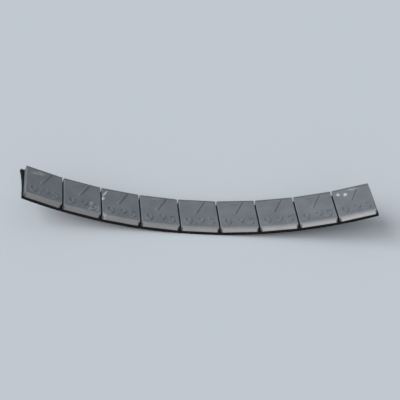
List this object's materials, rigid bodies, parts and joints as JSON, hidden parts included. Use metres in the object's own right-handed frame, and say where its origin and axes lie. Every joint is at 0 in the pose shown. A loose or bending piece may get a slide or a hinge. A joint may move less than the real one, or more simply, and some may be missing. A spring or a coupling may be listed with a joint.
{
  "type": "wheel balance weight",
  "caption": "Stick-on balance weight: a row of coated steel segments on one black foam tape, bent to the inside of a wheel's barrel.",
  "frame": {"origin": "lowest point of the tape's adhesive back, half way along the tape and across it, which is the bottom centre of the bounding box", "axes": "+X along the strip; +Y across it, parallel to the wheel's axis; +Z from the adhesive back towards the wheel's axis, which runs parallel to Y through x = 0, z = 0.215 m"},
  "size_m": [0.1528, 0.0214, 0.0174],
  "materials": {
    "coated_steel": "satin grey coating on pressed steel, rolled edges",
    "foam_tape": "black closed-cell foam with an adhesive back"
  },
  "bodies": {
    "root": {"segment_1": "coated_steel", "segment_2": "coated_steel", "segment_3": "coated_steel", "segment_4": "coated_steel", "segment_5": "coated_steel", "segment_6": "coated_steel", "segment_7": "coated_steel", "segment_8": "coated_steel", "segment_9": "coated_steel", "foam_tape": "foam_tape"}
  },
  "joints": []
}
